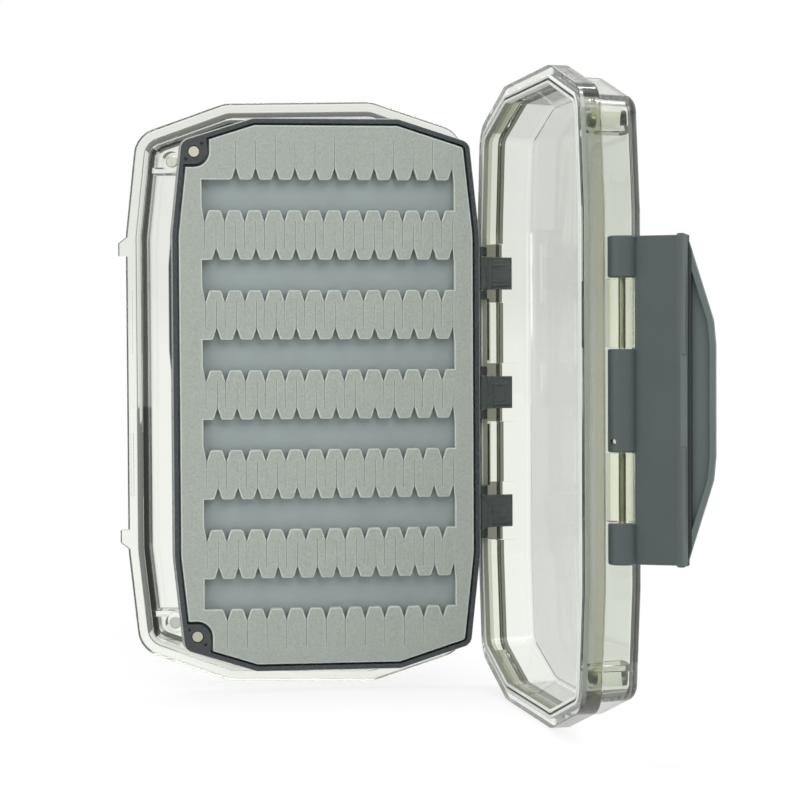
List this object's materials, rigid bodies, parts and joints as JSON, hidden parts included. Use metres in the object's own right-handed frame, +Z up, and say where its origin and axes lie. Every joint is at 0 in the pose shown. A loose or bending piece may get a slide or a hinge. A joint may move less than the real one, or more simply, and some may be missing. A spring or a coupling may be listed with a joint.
{
  "type": "fly box",
  "caption": "Clear two-shell fly box standing open, with a lid on a spine hinge, a swinging foam page, a rim gasket and a pivoting edge latch.",
  "frame": {"origin": "centre of the flat end of the base shell's rim flange, on which the open case stands", "axes": "+Z up along both hinge axes and the case's long side; +X from the base shell towards the lid; -Y out of the base shell's mouth towards the viewer"},
  "size_m": [0.1827, 0.1336, 0.19],
  "materials": {
    "clear_shell": "clear moulded plastic with a faint green-grey tint",
    "gasket": "soft white seal",
    "frame_plastic": "fine matt dark grey moulding",
    "panel_plastic": "smooth satin grey sheet",
    "foam": "closed-cell foam with a fine open texture",
    "clip_plastic": "satin near-black moulding",
    "latch_plastic": "satin slate-grey moulding",
    "pin_steel": "drawn wire",
    "magnet": "plated magnet face",
    "keeper_steel": "bright disc"
  },
  "bodies": {
    "base": {"base_shell": "clear_shell", "spine_pin": "pin_steel", "upper_base_keeper": "keeper_steel", "lower_base_keeper": "keeper_steel"},
    "lid": {"lid_shell": "clear_shell", "lid_gasket": "gasket", "upper_clip": "clip_plastic", "middle_clip": "clip_plastic", "lower_clip": "clip_plastic", "upper_lid_keeper": "keeper_steel", "lower_lid_keeper": "keeper_steel", "latch_pin": "pin_steel"},
    "page": {"page_frame": "frame_plastic", "page_panel": "panel_plastic", "front_foam": "foam", "back_foam": "foam", "upper_page_pin": "pin_steel", "middle_page_pin": "pin_steel", "lower_page_pin": "pin_steel", "upper_page_magnet": "magnet", "lower_page_magnet": "magnet"},
    "latch": {"latch": "latch_plastic"}
  },
  "joints": [
    {"name": "lid_hinge", "type": "hinge", "parent": "base", "child": "lid", "pos_m": [0.0582, -0.00202, 0.095], "axis": [0, 0, 1], "range_deg": [-104.9, 8]},
    {"name": "page_hinge", "type": "hinge", "parent": "lid", "child": "page", "pos_m": [0.06036, -0.01014, 0.095], "axis": [0, 0, 1], "range_deg": [-7.5, 96.5]},
    {"name": "latch_hinge", "type": "hinge", "parent": "lid", "child": "latch", "pos_m": [0.0982, -0.11173, 0.095], "axis": [0, 0, 1], "range_deg": [-152, 15]}
  ],
  "couplings": [
    {"joint": "page_hinge", "follows": "lid_hinge", "ratio": -0.91897}
  ]
}
